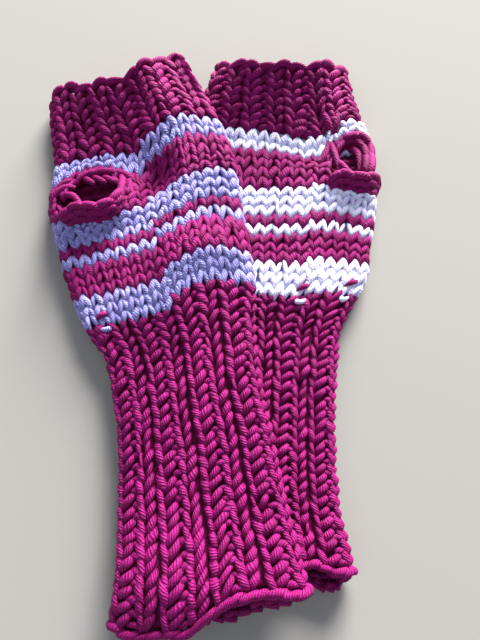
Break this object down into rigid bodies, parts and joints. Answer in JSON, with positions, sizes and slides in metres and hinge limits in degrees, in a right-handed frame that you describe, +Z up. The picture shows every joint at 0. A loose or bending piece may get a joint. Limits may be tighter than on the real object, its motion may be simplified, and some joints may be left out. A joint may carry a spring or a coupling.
{
  "type": "pair of fingerless mitts",
  "caption": "Pair of hand-knitted fingerless mitts with ribbed cuffs, striped hands and thumb slits, laid flat with one partly over the other.",
  "frame": {"origin": "middle of the footprint, on the table that the mitts lie on", "axes": "+X to the right of the pair, +Y from the cuffs towards the fingers, +Z up from the table"},
  "size_m": [0.1336, 0.2182, 0.0209],
  "materials": {
    "crimson_yarn": "thick plied yarn in crimson magenta, soft with a slight sheen",
    "lavender_yarn": "thick plied yarn in lavender blue, soft with a slight sheen",
    "white_yarn": "thick plied yarn in cool white, soft with a slight sheen"
  },
  "bodies": {
    "root": {"left_cast_on_edge": "crimson_yarn", "left_cuff": "crimson_yarn", "left_hand": "lavender_yarn", "left_top_rib": "crimson_yarn", "left_bind_off_edge": "crimson_yarn", "left_thumb_lower_lip": "crimson_yarn", "left_thumb_upper_lip": "crimson_yarn", "right_cast_on_edge": "crimson_yarn", "right_cuff": "crimson_yarn", "right_hand": "white_yarn", "right_top_rib": "crimson_yarn", "right_bind_off_edge": "crimson_yarn", "right_thumb_lower_lip": "crimson_yarn", "right_thumb_upper_lip": "crimson_yarn"}
  },
  "joints": []
}
